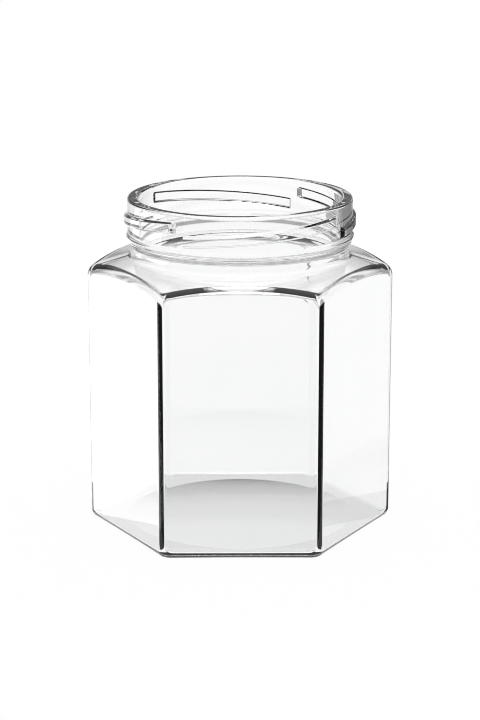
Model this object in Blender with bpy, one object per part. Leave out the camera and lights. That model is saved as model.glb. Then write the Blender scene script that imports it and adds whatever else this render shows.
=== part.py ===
"""Empty hexagonal glass jar with a round neck that takes a twist-off lid.

Metres, +Z up. The origin is the middle of the base, which rests on z = 0. A flat side faces -Y and
two corners point along X. The jar is one piece of glass, so it is one solid: each meridian section
runs from the middle of the underside, out over the heel, wall, shoulder and neck to the lip, and
back down the inside to the middle of the floor.
"""

import math

import bmesh
import bpy

# Body
HEIGHT = 0.1009
ACROSS_FLATS = 0.0804
CORNER_RADIUS = 0.0032
WALL = 0.0019
INNER_CORNER_RADIUS = 0.0004

# Base, flat inside and with a low dome underneath
HEEL_RADIUS = 0.0030
PUSH_UP_RADIUS = 0.0331
PUSH_UP_HEIGHT = 0.0007
FLOOR_THICKNESS = 0.0019
FLOOR_FILLET = 0.0004

# Shoulder, a shallow cone that the flat sides cut in arcs, steepest at the corners
SLOPE_MID_SIDE = math.radians(13.7)
SLOPE_CORNER = math.radians(17.5)
SHOULDER_ROOT_HEIGHT = 0.08365
SHOULDER_THICKNESS = 0.00225
EDGE_RADIUS_MID_SIDE = 0.0026
EDGE_RADIUS_CORNER = 0.0037
INNER_EDGE_RADIUS = 0.0014

# Neck
NECK_RADIUS = 0.0337
MOUTH_RADIUS = 0.0303
LIP_OUTER_RADIUS = 0.0008
LIP_INNER_RADIUS = 0.0010
ROOT_RADIUS = 0.0326
ROOT_FILLET = 0.0016
INNER_ROOT_FILLET = 0.0042
BEAD_RADIUS = 0.0341
BEAD_TOP_DEPTH = 0.0102
BEAD_DEPTH = 0.0116
BEAD_FOOT_DEPTH = 0.0128
ROOT_DEPTH = 0.0146

# Thread lugs, on the neck's outside, rising anticlockwise seen from above
LUG_COUNT = 4
LUG_START = math.radians(-29.4)
LUG_SPAN = math.radians(86)
LUG_LOW_DEPTH = 0.0080
LUG_HIGH_DEPTH = 0.0041
LUG_PROUD = 0.0010
LUG_CREST = 0.0022
LUG_FOOT = 0.0035
LUG_END_PROUD = 0.0002
LUG_ROOT_SINK = 0.0006
LUG_RUN_OUT = math.radians(1.0)
LUG_STEPS = 14

# Facets
SIDES = 6
CORNER_STEPS = 4
SIDE_STEPS = 12
HEEL_STEPS = 4
EDGE_STEPS = 6
ROOT_STEPS = 3
LIP_STEPS = 3
FLOOR_STEPS = 2
DOME_STEPS = 3
SHARP_ANGLE = math.radians(40)

HALF_FLATS = ACROSS_FLATS / 2
SECTOR = math.tau / SIDES


def corner_half_angle(half_flats, corner_radius):
    """Half the angle, seen from the axis, that a rounded corner takes."""
    centre = (half_flats - corner_radius) / math.cos(SECTOR / 2)
    across = corner_radius * math.sin(SECTOR / 2)
    along = centre + corner_radius * math.cos(SECTOR / 2)
    return math.atan2(across, along)


def reach(angle, half_flats, corner_radius):
    """Distance from the axis to a hexagon with rounded corners, its first corner at angle 0."""
    off_corner = abs((angle + SECTOR / 2) % SECTOR - SECTOR / 2)
    if off_corner >= corner_half_angle(half_flats, corner_radius):
        return half_flats / math.cos(SECTOR / 2 - off_corner)
    centre = (half_flats - corner_radius) / math.cos(SECTOR / 2)
    sideways = centre * math.sin(off_corner)
    return centre * math.cos(off_corner) + math.sqrt(corner_radius**2 - sideways**2)


def column_angles():
    """Angles of the meridian sections, closest together round the corners."""
    half = corner_half_angle(HALF_FLATS, CORNER_RADIUS)
    angles = []
    for side in range(SIDES):
        corner = side * SECTOR
        angles += [corner + half * (2 * step / CORNER_STEPS - 1) for step in range(CORNER_STEPS)]
        flat = SECTOR - 2 * half
        angles += [corner + half + flat * step / SIDE_STEPS for step in range(SIDE_STEPS)]
    return angles


def arc(centre, radius, start, end, steps):
    """Points (radius, height) along an arc of a section, both ends included."""
    turns = [start + (end - start) * step / steps for step in range(steps + 1)]
    return [(centre[0] + radius * math.cos(t), centre[1] + radius * math.sin(t)) for t in turns]


def shoulder_curve(wall_reach, slope, depth, edge_radius, root_radius, root_fillet):
    """The wall's top edge and the neck's foot: two arcs joined by the cone, depth below the outside."""
    cone = ROOT_RADIUS * math.sin(slope) + SHOULDER_ROOT_HEIGHT * math.cos(slope) - depth
    edge_x = wall_reach - edge_radius
    edge_z = (cone - edge_radius - edge_x * math.sin(slope)) / math.cos(slope)
    root_x = root_radius + root_fillet
    root_z = (cone + root_fillet - root_x * math.sin(slope)) / math.cos(slope)
    edge = arc((edge_x, edge_z), edge_radius, 0, math.pi / 2 - slope, EDGE_STEPS)
    root = arc((root_x, root_z), root_fillet, 3 * math.pi / 2 - slope, math.pi, ROOT_STEPS)
    return edge + root


def towards_corner(angle, mid_side, corner):
    """A size that grows from the middle of a side to the corners as the wall's reach does."""
    corner_reach = reach(0, HALF_FLATS, CORNER_RADIUS)
    share = (reach(angle, HALF_FLATS, CORNER_RADIUS) - HALF_FLATS) / (corner_reach - HALF_FLATS)
    return mid_side + share * (corner - mid_side)


def underside_section():
    """Half of the dome under the jar, from beside its middle out to its edge on the table."""
    radii = [PUSH_UP_RADIUS * step / DOME_STEPS for step in range(1, DOME_STEPS + 1)]
    return [(radius, PUSH_UP_HEIGHT * (1 - (radius / PUSH_UP_RADIUS) ** 2)) for radius in radii]


def outside_section(angle):
    wall_reach = reach(angle, HALF_FLATS, CORNER_RADIUS)
    heel = arc((wall_reach - HEEL_RADIUS, HEEL_RADIUS), HEEL_RADIUS, -math.pi / 2, 0, HEEL_STEPS)
    slope = towards_corner(angle, SLOPE_MID_SIDE, SLOPE_CORNER)
    edge_radius = towards_corner(angle, EDGE_RADIUS_MID_SIDE, EDGE_RADIUS_CORNER)
    shoulder = shoulder_curve(wall_reach, slope, 0, edge_radius, ROOT_RADIUS, ROOT_FILLET)
    neck = [
        (ROOT_RADIUS, HEIGHT - ROOT_DEPTH),
        (NECK_RADIUS, HEIGHT - BEAD_FOOT_DEPTH),
        (BEAD_RADIUS, HEIGHT - BEAD_DEPTH),
        (NECK_RADIUS, HEIGHT - BEAD_TOP_DEPTH),
    ]
    return underside_section() + heel + shoulder + neck


def lip_section():
    outer = (NECK_RADIUS - LIP_OUTER_RADIUS, HEIGHT - LIP_OUTER_RADIUS)
    inner = (MOUTH_RADIUS + LIP_INNER_RADIUS, HEIGHT - LIP_INNER_RADIUS)
    over = arc(outer, LIP_OUTER_RADIUS, 0, math.pi / 2, LIP_STEPS)
    return over + arc(inner, LIP_INNER_RADIUS, math.pi / 2, math.pi, LIP_STEPS)


def inside_section(angle):
    wall_reach = reach(angle, HALF_FLATS - WALL, INNER_CORNER_RADIUS)
    slope = towards_corner(angle, SLOPE_MID_SIDE, SLOPE_CORNER)
    down = shoulder_curve(
        wall_reach, slope, SHOULDER_THICKNESS, INNER_EDGE_RADIUS, MOUTH_RADIUS, INNER_ROOT_FILLET
    )
    down.reverse()
    fillet_centre = (wall_reach - FLOOR_FILLET, FLOOR_THICKNESS + FLOOR_FILLET)
    return down + arc(fillet_centre, FLOOR_FILLET, 0, -math.pi / 2, FLOOR_STEPS)


def jar_mesh():
    """Skins the meridian sections into one closed mesh, with a point on the axis at each end."""
    bm = bmesh.new()
    columns = []
    for angle in column_angles():
        section = outside_section(angle) + lip_section() + inside_section(angle)
        columns.append(
            [bm.verts.new((r * math.cos(angle), r * math.sin(angle), z)) for r, z in section]
        )
    under = bm.verts.new((0, 0, PUSH_UP_HEIGHT))
    floor = bm.verts.new((0, 0, FLOOR_THICKNESS))
    for here, there in zip(columns, columns[1:] + columns[:1]):
        bm.faces.new((under, there[0], here[0]))
        for level in range(len(here) - 1):
            bm.faces.new((here[level], there[level], there[level + 1], here[level + 1]))
        bm.faces.new((here[-1], there[-1], floor))
    mesh = bpy.data.meshes.new("glass_jar")
    bm.to_mesh(mesh)
    bm.free()
    return mesh


def lug_section(turn, share, proud):
    """Corners of one slice through a lug, share of the way from its low end to its high end."""
    depth = LUG_LOW_DEPTH + share * (LUG_HIGH_DEPTH - LUG_LOW_DEPTH)
    sunk = NECK_RADIUS - LUG_ROOT_SINK
    outline = [
        (sunk, -LUG_FOOT / 2),
        (NECK_RADIUS, -LUG_FOOT / 2),
        (NECK_RADIUS + proud, -LUG_CREST / 2),
        (NECK_RADIUS + proud, LUG_CREST / 2),
        (NECK_RADIUS, LUG_FOOT / 2),
        (sunk, LUG_FOOT / 2),
    ]
    return [
        (r * math.cos(turn), r * math.sin(turn), HEIGHT - depth + z) for r, z in outline
    ]


def lug_mesh(start):
    """A thread lug swept along its helix, with short run-outs at both ends."""
    bm = bmesh.new()
    edge_share = LUG_RUN_OUT / LUG_SPAN
    body = [edge_share + (1 - 2 * edge_share) * step / LUG_STEPS for step in range(LUG_STEPS + 1)]
    rings = []
    for share in [0, *body, 1]:
        proud = LUG_PROUD if 0 < share < 1 else LUG_END_PROUD
        points = lug_section(start + share * LUG_SPAN, share, proud)
        rings.append([bm.verts.new(point) for point in points])
    for here, there in zip(rings, rings[1:]):
        for a, b, c, d in zip(here, here[1:] + here[:1], there[1:] + there[:1], there):
            bm.faces.new((a, b, c, d))
    bm.faces.new(rings[0])
    bm.faces.new(rings[-1])
    bmesh.ops.recalc_face_normals(bm, faces=bm.faces[:])
    mesh = bpy.data.meshes.new("thread_lug")
    bm.to_mesh(mesh)
    bm.free()
    return mesh


def glass_material():
    material = bpy.data.materials.new("clear_glass")
    material.use_nodes = True
    shader = material.node_tree.nodes["Principled BSDF"]
    shader.inputs["Base Color"].default_value = (0.97, 0.985, 0.98, 1)
    shader.inputs["Roughness"].default_value = 0.02
    shader.inputs["Metallic"].default_value = 0
    shader.inputs["IOR"].default_value = 1.52
    shader.inputs["Transmission Weight"].default_value = 1
    return material


def build():
    for obj in list(bpy.data.objects):
        bpy.data.objects.remove(obj)
    scene = bpy.context.scene
    lugs = bpy.data.collections.new("thread_lugs")
    scene.collection.children.link(lugs)
    for index in range(LUG_COUNT):
        start = LUG_START - math.pi / 2 + index * math.tau / LUG_COUNT
        lug = bpy.data.objects.new(f"thread_lug_{index + 1}", lug_mesh(start))
        lug.hide_render = True
        lug.display_type = "WIRE"
        lugs.objects.link(lug)
    jar = bpy.data.objects.new("glass_jar", jar_mesh())
    jar.data.materials.append(glass_material())
    jar.data.shade_smooth()
    jar.data.set_sharp_from_angle(angle=SHARP_ANGLE)
    scene.collection.objects.link(jar)
    union = jar.modifiers.new("thread", "BOOLEAN")
    union.operation = "UNION"
    union.operand_type = "COLLECTION"
    union.collection = lugs
    union.solver = "EXACT"


build()
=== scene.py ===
"""Looks of an empty hexagonal glass jar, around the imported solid.

The jar is one piece of clear glass. A blank is spun from one section of the jar and then blown
out into the six-sided mould, so that every corner, edge, lug and lip is round and smooth.
"""

import math

import bpy
import numpy as np
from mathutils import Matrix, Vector

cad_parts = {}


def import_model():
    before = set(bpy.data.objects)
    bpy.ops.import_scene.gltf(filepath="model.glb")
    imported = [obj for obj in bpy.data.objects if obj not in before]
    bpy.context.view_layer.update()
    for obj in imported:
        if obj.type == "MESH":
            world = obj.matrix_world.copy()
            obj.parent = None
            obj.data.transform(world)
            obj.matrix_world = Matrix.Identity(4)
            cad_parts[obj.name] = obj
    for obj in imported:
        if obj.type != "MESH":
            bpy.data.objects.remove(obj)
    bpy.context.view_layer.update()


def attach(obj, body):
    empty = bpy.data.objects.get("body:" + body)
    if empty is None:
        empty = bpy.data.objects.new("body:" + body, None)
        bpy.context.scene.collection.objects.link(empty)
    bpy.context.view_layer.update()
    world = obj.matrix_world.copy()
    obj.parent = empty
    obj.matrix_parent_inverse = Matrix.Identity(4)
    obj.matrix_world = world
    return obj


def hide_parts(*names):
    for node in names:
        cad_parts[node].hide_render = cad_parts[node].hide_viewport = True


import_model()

MM = 0.001

# Body
HEIGHT = 100.9 * MM
ACROSS_FLATS = 80.4 * MM
CORNER_RADIUS = 3.2 * MM
WALL = 1.9 * MM
INNER_CORNER_RADIUS = 0.4 * MM
SIDES = 6
SECTOR = math.tau / SIDES
HALF_FLATS = ACROSS_FLATS / 2

# Base, flat inside and with a low dome underneath
HEEL_RADIUS = 3.0 * MM
PUSH_UP_RADIUS = 33.1 * MM
PUSH_UP_HEIGHT = 0.7 * MM
FLOOR_THICKNESS = 1.9 * MM
FLOOR_FILLET = 0.4 * MM

# The flat of each inner face ends in round corners, above the floor and under the shoulder
FACE_CORNER = 2.4 * MM

# Shoulder, a shallow cone that the flat sides cut in arcs
SLOPE_MID_SIDE = math.radians(13.7)
SLOPE_CORNER = math.radians(17.5)
SHOULDER_ROOT_HEIGHT = 83.65 * MM
SHOULDER_THICKNESS = 2.25 * MM
EDGE_RADIUS_MID_SIDE = 2.6 * MM
EDGE_RADIUS_CORNER = 3.7 * MM
INNER_EDGE_RADIUS = 1.4 * MM

# Neck
NECK_RADIUS = 33.7 * MM
MOUTH_RADIUS = 30.3 * MM
LIP_OUTER_RADIUS = 0.8 * MM
LIP_INNER_RADIUS = 1.0 * MM
ROOT_RADIUS = 32.6 * MM
ROOT_FILLET = 1.6 * MM
INNER_ROOT_FILLET = 4.2 * MM
BEAD_PROUD = 0.4 * MM
BEAD_TOP_DEPTH = 10.2 * MM
BEAD_FOOT_DEPTH = 12.8 * MM
ROOT_DEPTH = 14.6 * MM

# Thread lugs, rising anticlockwise seen from above
LUG_COUNT = 4
LUG_PITCH = math.tau / LUG_COUNT
LUG_START = math.radians(-29.4 - 90)
LUG_SPAN = math.radians(86)
LUG_LOW_DEPTH = 8.0 * MM
LUG_HIGH_DEPTH = 4.1 * MM
LUG_PROUD = 1.0 * MM
LUG_CREST = 2.2 * MM
LUG_FOOT = 3.5 * MM
LUG_MARGIN = 0.15 * MM
LUG_LOW_RUN_OUT = math.radians(0.9)
LUG_HIGH_RUN_OUT = math.radians(3.0)
LUG_EASE = 0.15

# Rows of the mesh, on the arcs and on the straight parts between them
UNDERSIDE_RINGS = 16
FLOOR_RINGS = 4
BAND_STEPS = 4
HEEL_STEPS = 14
WALL_STEPS = 9
EDGE_STEPS = 16
SHOULDER_STEPS = 7
ROOT_STEPS = 6
BEAD_STEPS = 10
BELOW_LUG_STEPS = 2
FLANK_STEPS = 11
OVER_LUG_STEPS = 3
LIP_OUTER_STEPS = 7
LIP_INNER_STEPS = 9
MOUTH_STEPS = 4
INNER_SHOULDER_STEPS = 6
INNER_EDGE_STEPS = 12
FLOOR_FILLET_STEPS = 12
LINE_HOLD = 0.2 * MM
LINE_HOLD_SHARE = 0.25

# Upright lines of the mesh, with the width and the extra closeness of each cluster
COLUMNS = 420
FINE_ANGLES = 36001
CORNER_CLUSTER = (math.radians(2.4), 6.0)
INNER_CORNER_CLUSTER = (math.radians(0.5), 16.0)
LUG_LOW_CLUSTER = (math.radians(1.1), 8.0)
LUG_HIGH_CLUSTER = (math.radians(2.4), 4.0)
MERGE_DISTANCE = 0.001 * MM

# Glass, with its slow drifts per metre
GLASS_IOR = 1.5
GLASS_CLEAREST = (0.99, 0.992, 0.991, 1)
GLASS_TINT = (0.976, 0.983, 0.98, 1)
TINT_SCALE = 18
POLISH_SCALE = 45
POLISH_ROUGHNESS = 0.012
WAVE_SCALE = 60
WAVE_HEIGHT = 0.004 * MM
NOISE_DETAIL = 2
NOISE_FROM = 0.3
NOISE_TO = 0.7

# Camera, at the photograph's angle
CAMERA_DISTANCE = 0.690
CAMERA_PITCH = math.radians(15.04)
CAMERA_TURN = math.radians(0.3)
CAMERA_LENS = 113.35
CAMERA_SENSOR = 36.0
AIM_HEIGHT = 0.050

# Studio: the floor, and the room's brightness at some elevations in degrees
FLOOR_SIZE = 12
FLOOR_GAP = 0.05 * MM
FLOOR_GLOW = 0.97
FLOOR_ALBEDO = 0.025
ROOM_TONES = ((1, 0.8), (5, 0.7), (9, 0.35), (20, 0.3), (25, 0.9), (40, 1.0), (52, 1.3), (75, 1.7))
ROOM_PEAK = 1.7

# Cards round the jar: name, middle, width and depth, brightness, and whether the glass lets them through
CARDS = (
    ("card_dark_front", (0, -0.40, 0.0002), (1.0, 0.70), 0.2, False),
    ("card_bright_left", (-0.354, 0.12, 0.0002), (0.61, 0.44), 2.6, False),
    ("card_grey_right", (0.057, 0.006, 0.0003), (0.02, 0.07), 0.3, False),
    ("card_grey_behind", (0.44, 0.64, 0.0003), (0.64, 0.72), 0.3, True),
    ("softbox_above", (0, 0, 0.95), (0.26, 0.62), 8.0, True),
)


def smooth(share):
    """A step from 0 to 1 that starts and ends level."""
    share = min(1.0, max(0.0, share))
    return share * share * (3 - 2 * share)


def ramp(share, ease):
    """A straight step from 0 to 1 with both its ends eased over a small share."""
    share = min(1.0, max(0.0, share))
    if share > 0.5:
        return 1 - ramp(1 - share, ease)
    if share < ease:
        return share**2 / (2 * ease * (1 - ease))
    return (share - ease / 2) / (1 - ease)


def corner_half_angle(half_flats, corner_radius):
    """Half the angle, seen from the axis, that a rounded corner takes."""
    centre = (half_flats - corner_radius) / math.cos(SECTOR / 2)
    across = corner_radius * math.sin(SECTOR / 2)
    along = centre + corner_radius * math.cos(SECTOR / 2)
    return math.atan2(across, along)


def reach(angle, half_flats, corner_radius):
    """Distance from the axis to a hexagon with rounded corners, its first corner at angle 0."""
    off_corner = abs((angle + SECTOR / 2) % SECTOR - SECTOR / 2)
    if off_corner >= corner_half_angle(half_flats, corner_radius):
        return half_flats / math.cos(SECTOR / 2 - off_corner)
    centre = (half_flats - corner_radius) / math.cos(SECTOR / 2)
    sideways = centre * math.sin(off_corner)
    return centre * math.cos(off_corner) + math.sqrt(corner_radius**2 - sideways**2)


def arc(centre, radius, start, end, steps):
    """Points (radius, height) along an arc of a section, both ends included."""
    turns = [start + (end - start) * step / steps for step in range(steps + 1)]
    return [(centre[0] + radius * math.cos(t), centre[1] + radius * math.sin(t)) for t in turns]


def line(start, end, steps):
    """Points between two ends, which are left out, with one held close to each end."""
    length = math.dist(start, end)
    held = min(LINE_HOLD_SHARE, LINE_HOLD / length)
    shares = [held] + [held + (1 - 2 * held) * step / steps for step in range(1, steps)] + [1 - held]
    return [(start[0] + (end[0] - start[0]) * s, start[1] + (end[1] - start[1]) * s) for s in shares]


def shoulder_arcs(wall_reach, slope, depth, edge_radius, root_radius, root_fillet, steps):
    """The wall's top edge and the neck's foot as two arcs, depth below the shoulder's outside."""
    cone = ROOT_RADIUS * math.sin(slope) + SHOULDER_ROOT_HEIGHT * math.cos(slope) - depth
    edge_x = wall_reach - edge_radius
    edge_z = (cone - edge_radius - edge_x * math.sin(slope)) / math.cos(slope)
    root_x = root_radius + root_fillet
    root_z = (cone + root_fillet - root_x * math.sin(slope)) / math.cos(slope)
    edge = arc((edge_x, edge_z), edge_radius, 0, math.pi / 2 - slope, steps)
    root = arc((root_x, root_z), root_fillet, 3 * math.pi / 2 - slope, math.pi, steps)
    return edge, root


def towards_corner(angle, mid_side, corner):
    """A size that grows from the middle of a side to the corners as the wall's reach does."""
    corner_reach = reach(0, HALF_FLATS, CORNER_RADIUS)
    share = (reach(angle, HALF_FLATS, CORNER_RADIUS) - HALF_FLATS) / (corner_reach - HALF_FLATS)
    return mid_side + share * (corner - mid_side)


def push_up(radius):
    """Height of the underside over the table, a low dome."""
    return PUSH_UP_HEIGHT * (1 - (radius / PUSH_UP_RADIUS) ** 2)


def disc_radii(rings):
    """Rings of the underside or the floor, closest together at the edge of the dome."""
    return [PUSH_UP_RADIUS * math.sin(math.pi / 2 * ring / rings) for ring in range(rings + 1)]


def face_corner(angle):
    """How far the flat of an inner face draws back from the floor and the shoulder near a corner."""
    off_corner = abs((angle + SECTOR / 2) % SECTOR - SECTOR / 2)
    inner_flats = HALF_FLATS - WALL
    from_corner = inner_flats * (math.tan(SECTOR / 2) - math.tan(SECTOR / 2 - off_corner))
    left = max(0.0, FACE_CORNER - from_corner)
    return FACE_CORNER - math.sqrt(FACE_CORNER**2 - left**2)


def lug_place(angle):
    """The lugs' centre line below the rim, and how far a lug stands out, from 0 to 1, at an angle."""
    along = (angle - LUG_START) % LUG_PITCH
    if along > LUG_SPAN:
        back = smooth((along - LUG_SPAN) / (LUG_PITCH - LUG_SPAN))
        return LUG_HIGH_DEPTH + back * (LUG_LOW_DEPTH - LUG_HIGH_DEPTH), 0.0
    depth = LUG_LOW_DEPTH + along / LUG_SPAN * (LUG_HIGH_DEPTH - LUG_LOW_DEPTH)
    start = ramp(along / LUG_LOW_RUN_OUT, LUG_EASE)
    return depth, start * ramp((LUG_SPAN - along) / LUG_HIGH_RUN_OUT, LUG_EASE)


def neck_outside(angle):
    """The neck from its root over the bead and the lugs, up to where the lip begins."""
    rows = []
    for step in range(1, ROOT_STEPS + 1):
        share = step / ROOT_STEPS
        radius = ROOT_RADIUS + (NECK_RADIUS - ROOT_RADIUS) * smooth(share)
        rows.append((radius, HEIGHT - ROOT_DEPTH + share * (ROOT_DEPTH - BEAD_FOOT_DEPTH)))
    for step in range(1, BEAD_STEPS + 1):
        share = step / BEAD_STEPS
        radius = NECK_RADIUS + BEAD_PROUD * (1 - math.cos(share * math.tau)) / 2
        rows.append((radius, HEIGHT - BEAD_FOOT_DEPTH + share * (BEAD_FOOT_DEPTH - BEAD_TOP_DEPTH)))
    depth, strength = lug_place(angle)
    below_lug = (NECK_RADIUS, HEIGHT - depth - LUG_FOOT / 2 - LUG_MARGIN)
    rows += line(rows[-1], below_lug, BELOW_LUG_STEPS)
    for offset in lug_offsets():
        flank = ramp((LUG_FOOT / 2 - abs(offset)) / (LUG_FOOT / 2 - LUG_CREST / 2), LUG_EASE)
        rows.append((NECK_RADIUS + LUG_PROUD * strength * flank, HEIGHT - depth + offset))
    return rows + line(rows[-1], (NECK_RADIUS, HEIGHT - LIP_OUTER_RADIUS), OVER_LUG_STEPS)


def lug_offsets():
    """Heights of a lug's rows from its centre line, closest together on its two flanks."""
    outermost = LUG_FOOT / 2 + LUG_MARGIN
    innermost = LUG_CREST / 2 - LUG_MARGIN
    width = outermost - innermost
    flank = [outermost - width * step / FLANK_STEPS for step in range(FLANK_STEPS + 1)]
    return [-offset for offset in flank] + [0.0] + flank[::-1]


def section(angle):
    """The jar's section at an angle, from the middle of its underside to the middle of its floor."""
    wall_reach = reach(angle, HALF_FLATS, CORNER_RADIUS)
    under = [(radius, push_up(radius)) for radius in disc_radii(UNDERSIDE_RINGS)]
    heel_centre = (wall_reach - HEEL_RADIUS, HEEL_RADIUS)
    heel = arc(heel_centre, HEEL_RADIUS, -math.pi / 2, 0, HEEL_STEPS)
    slope = towards_corner(angle, SLOPE_MID_SIDE, SLOPE_CORNER)
    edge_radius = towards_corner(angle, EDGE_RADIUS_MID_SIDE, EDGE_RADIUS_CORNER)
    edge, root = shoulder_arcs(
        wall_reach, slope, 0, edge_radius, ROOT_RADIUS, ROOT_FILLET, EDGE_STEPS
    )
    rows = under + line(under[-1], heel[0], BAND_STEPS) + heel
    rows += line(heel[-1], edge[0], WALL_STEPS) + edge
    rows += line(edge[-1], root[0], SHOULDER_STEPS) + root
    rows += [(ROOT_RADIUS, HEIGHT - ROOT_DEPTH)] + neck_outside(angle)
    outer_lip = (NECK_RADIUS - LIP_OUTER_RADIUS, HEIGHT - LIP_OUTER_RADIUS)
    inner_lip = (MOUTH_RADIUS + LIP_INNER_RADIUS, HEIGHT - LIP_INNER_RADIUS)
    rows += arc(outer_lip, LIP_OUTER_RADIUS, 0, math.pi / 2, LIP_OUTER_STEPS)
    rows += arc(inner_lip, LIP_INNER_RADIUS, math.pi / 2, math.pi, LIP_INNER_STEPS)
    inner_reach = reach(angle, HALF_FLATS - WALL, INNER_CORNER_RADIUS)
    inner_edge_radius = INNER_EDGE_RADIUS + face_corner(angle)
    edge, root = shoulder_arcs(
        inner_reach, slope, SHOULDER_THICKNESS, inner_edge_radius, MOUTH_RADIUS, INNER_ROOT_FILLET,
        INNER_EDGE_STEPS,
    )
    rows += line(rows[-1], root[-1], MOUTH_STEPS) + root[::-1]
    rows += line(root[0], edge[-1], INNER_SHOULDER_STEPS) + edge[::-1]
    fillet_radius = FLOOR_FILLET + face_corner(angle)
    fillet_centre = (inner_reach - fillet_radius, FLOOR_THICKNESS + fillet_radius)
    fillet = arc(fillet_centre, fillet_radius, 0, -math.pi / 2, FLOOR_FILLET_STEPS)
    rows += line(rows[-1], fillet[0], WALL_STEPS) + fillet
    disc = [(radius, FLOOR_THICKNESS) for radius in reversed(disc_radii(FLOOR_RINGS))]
    return rows + line(fillet[-1], disc[0], BAND_STEPS) + disc


def column_angles():
    """Angles of the mesh's upright lines, closest together at the corners and the lugs' ends."""
    marks = [(side * SECTOR, *CORNER_CLUSTER) for side in range(SIDES)]
    marks += [(side * SECTOR, *INNER_CORNER_CLUSTER) for side in range(SIDES)]
    for lug in range(LUG_COUNT):
        low_end = LUG_START + lug * LUG_PITCH
        marks.append((low_end + LUG_LOW_RUN_OUT / 2, *LUG_LOW_CLUSTER))
        marks.append((low_end + LUG_SPAN - LUG_HIGH_RUN_OUT / 2, *LUG_HIGH_CLUSTER))
    fine = np.linspace(0, math.tau, FINE_ANGLES)
    weight = np.ones_like(fine)
    for place, width, extra in marks:
        off = np.abs((fine - place + math.pi) % math.tau - math.pi)
        weight += extra * np.clip(1 - (off / width) ** 2, 0, 1)
    total = np.concatenate([[0.0], np.cumsum((weight[1:] + weight[:-1]) / 2)])
    return np.interp(np.arange(COLUMNS) / COLUMNS * total[-1], total, fine).tolist()


def only(obj):
    """Makes obj the one selected and active object."""
    bpy.ops.object.select_all(action="DESELECT")
    obj.select_set(True)
    bpy.context.view_layer.objects.active = obj


def spin_blank(points):
    """A closed body of glass, spun from a section whose two ends lie on the axis."""
    mesh = bpy.data.meshes.new("glass_jar_blown")
    edges = [(i, i + 1) for i in range(len(points) - 1)]
    mesh.from_pydata([(radius, 0, height) for radius, height in points], edges, [])
    level = mesh.attributes.new("level", "INT", "POINT")
    level.data.foreach_set("value", list(range(len(points))))
    blank = bpy.data.objects.new("glass_jar_blown", mesh)
    bpy.context.scene.collection.objects.link(blank)
    only(blank)
    bpy.ops.object.mode_set(mode="EDIT")
    bpy.ops.mesh.select_all(action="SELECT")
    bpy.ops.mesh.spin(steps=COLUMNS, angle=math.tau, center=(0, 0, 0), axis=(0, 0, 1))
    bpy.ops.mesh.select_all(action="SELECT")
    bpy.ops.mesh.remove_doubles(threshold=MERGE_DISTANCE)
    bpy.ops.mesh.normals_make_consistent(inside=False)
    bpy.ops.object.mode_set(mode="OBJECT")
    return blank


def blow_into_mould(blank):
    """Moves each point of the blank out to its level of the section at its own angle."""
    angles = column_angles()
    moulded = [section(angle) for angle in angles]
    levels = blank.data.attributes["level"].data
    for vertex in blank.data.vertices:
        turn = math.atan2(vertex.co.y, vertex.co.x)
        column = round(turn / math.tau * COLUMNS) % COLUMNS
        radius, height = moulded[column][levels[vertex.index].value]
        angle = angles[column]
        vertex.co = (radius * math.cos(angle), radius * math.sin(angle), height)
    blank.data.update()


def glass_jar():
    jar = spin_blank(section(SECTOR / 2))
    blow_into_mould(jar)
    only(jar)
    bpy.ops.object.shade_smooth()
    jar.data.materials.append(clear_glass())
    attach(jar, "root")
    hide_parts("glass_jar")


def noise_between(nodes, links, place, scale, low, high):
    """A slow drift of a value over the jar, from low to high."""
    noise = nodes.new("ShaderNodeTexNoise")
    noise.inputs["Scale"].default_value = scale
    noise.inputs["Detail"].default_value = NOISE_DETAIL
    span = nodes.new("ShaderNodeMapRange")
    span.inputs["From Min"].default_value = NOISE_FROM
    span.inputs["From Max"].default_value = NOISE_TO
    span.inputs["To Min"].default_value = low
    span.inputs["To Max"].default_value = high
    links.new(place, noise.inputs["Vector"])
    links.new(noise.outputs["Fac"], span.inputs["Value"])
    return span.outputs["Result"]


def clear_glass():
    """Fire-polished glass: nearly colourless, with the faint waves and tint of a blown jar."""
    material = bpy.data.materials.new("clear_glass")
    material.use_nodes = True
    nodes = material.node_tree.nodes
    links = material.node_tree.links
    shader = nodes["Principled BSDF"]
    shader.inputs["IOR"].default_value = GLASS_IOR
    shader.inputs["Transmission Weight"].default_value = 1
    place = nodes.new("ShaderNodeTexCoord").outputs["Object"]
    tint = nodes.new("ShaderNodeMix")
    tint.data_type = "RGBA"
    tint.inputs["A"].default_value = GLASS_CLEAREST
    tint.inputs["B"].default_value = GLASS_TINT
    links.new(noise_between(nodes, links, place, TINT_SCALE, 0, 1), tint.inputs["Factor"])
    links.new(tint.outputs["Result"], shader.inputs["Base Color"])
    polish = noise_between(nodes, links, place, POLISH_SCALE, 0, POLISH_ROUGHNESS)
    links.new(polish, shader.inputs["Roughness"])
    waves = nodes.new("ShaderNodeBump")
    waves.inputs["Strength"].default_value = 1
    waves.inputs["Distance"].default_value = WAVE_HEIGHT
    links.new(noise_between(nodes, links, place, WAVE_SCALE, 0, 1), waves.inputs["Height"])
    links.new(waves.outputs["Normal"], shader.inputs["Normal"])
    return material


def glowing(name, brightness, albedo=0.0):
    """A matt surface that gives off an even light of its own."""
    material = bpy.data.materials.new(name)
    material.use_nodes = True
    shader = material.node_tree.nodes["Principled BSDF"]
    shader.inputs["Base Color"].default_value = (albedo, albedo, albedo, 1)
    shader.inputs["Roughness"].default_value = 1
    shader.inputs["Specular IOR Level"].default_value = 0
    shader.inputs["Emission Color"].default_value = (1, 1, 1, 1)
    shader.inputs["Emission Strength"].default_value = brightness
    return material


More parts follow.
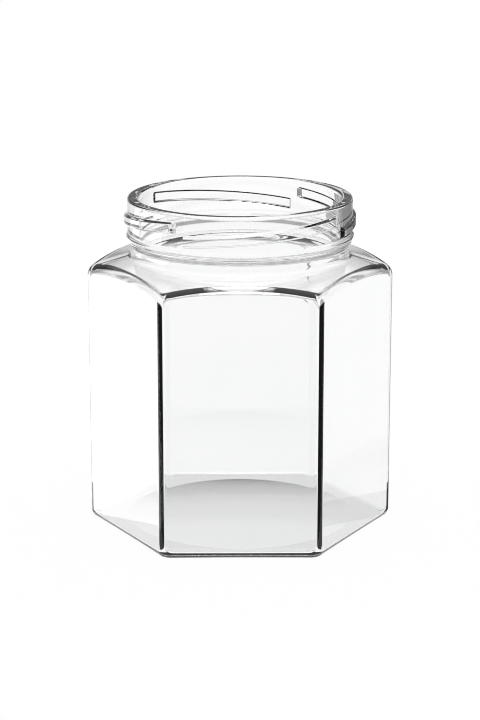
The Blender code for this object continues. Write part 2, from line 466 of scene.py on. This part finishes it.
def floor():
    bpy.ops.mesh.primitive_plane_add(size=FLOOR_SIZE, location=(0, 0, -FLOOR_GAP))
    plane = bpy.context.object
    plane.name = "studio_floor"
    plane.data.materials.append(glowing("studio_floor", FLOOR_GLOW, FLOOR_ALBEDO))


def card(name, middle, size, brightness, in_glass):
    """A level card that shows in the jar's reflections only, or also through its glass."""
    bpy.ops.mesh.primitive_plane_add(size=1, location=middle)
    sheet = bpy.context.object
    sheet.name = name
    sheet.scale = (size[0], size[1], 1)
    bpy.ops.object.transform_apply(location=False, rotation=False, scale=True)
    sheet.data.materials.append(glowing(name, brightness))
    sheet.visible_camera = False
    sheet.visible_diffuse = False
    sheet.visible_shadow = False
    sheet.visible_transmission = in_glass


def world():
    """A pale room: bright overhead, grey just above the horizon."""
    room = bpy.data.worlds.new("studio")
    bpy.context.scene.world = room
    room.use_nodes = True
    nodes = room.node_tree.nodes
    links = room.node_tree.links
    place = nodes.new("ShaderNodeTexCoord")
    split = nodes.new("ShaderNodeSeparateXYZ")
    tones = nodes.new("ShaderNodeValToRGB")
    background = nodes["Background"]
    links.new(place.outputs["Generated"], split.inputs["Vector"])
    links.new(split.outputs["Z"], tones.inputs["Fac"])
    links.new(tones.outputs["Color"], background.inputs["Color"])
    background.inputs["Strength"].default_value = ROOM_PEAK
    stops = tones.color_ramp.elements
    while len(stops) > 1:
        stops.remove(stops[-1])
    for elevation, brightness in ROOM_TONES:
        stop = stops.new(math.sin(math.radians(elevation)))
        tone = brightness / ROOM_PEAK
        stop.color = (tone, tone, tone, 1)
    stops.remove(stops[0])


def camera():
    data = bpy.data.cameras.new("camera")
    data.lens = CAMERA_LENS
    data.sensor_width = CAMERA_SENSOR
    eye = bpy.data.objects.new("camera", data)
    bpy.context.scene.collection.objects.link(eye)
    back = Vector(
        (
            -math.sin(CAMERA_TURN) * math.cos(CAMERA_PITCH),
            -math.cos(CAMERA_TURN) * math.cos(CAMERA_PITCH),
            math.sin(CAMERA_PITCH),
        )
    )
    eye.location = Vector((0, 0, AIM_HEIGHT)) + CAMERA_DISTANCE * back
    eye.rotation_euler = (-back).to_track_quat("-Z", "Y").to_euler()
    bpy.context.scene.camera = eye


glass_jar()
floor()
for name, middle, size, brightness, in_glass in CARDS:
    card(name, middle, size, brightness, in_glass)
world()
camera()
bpy.context.scene.view_settings.view_transform = "Standard"
bpy.context.scene.cycles.glossy_bounces = 2
bpy.context.scene.cycles.filter_width = 1.0
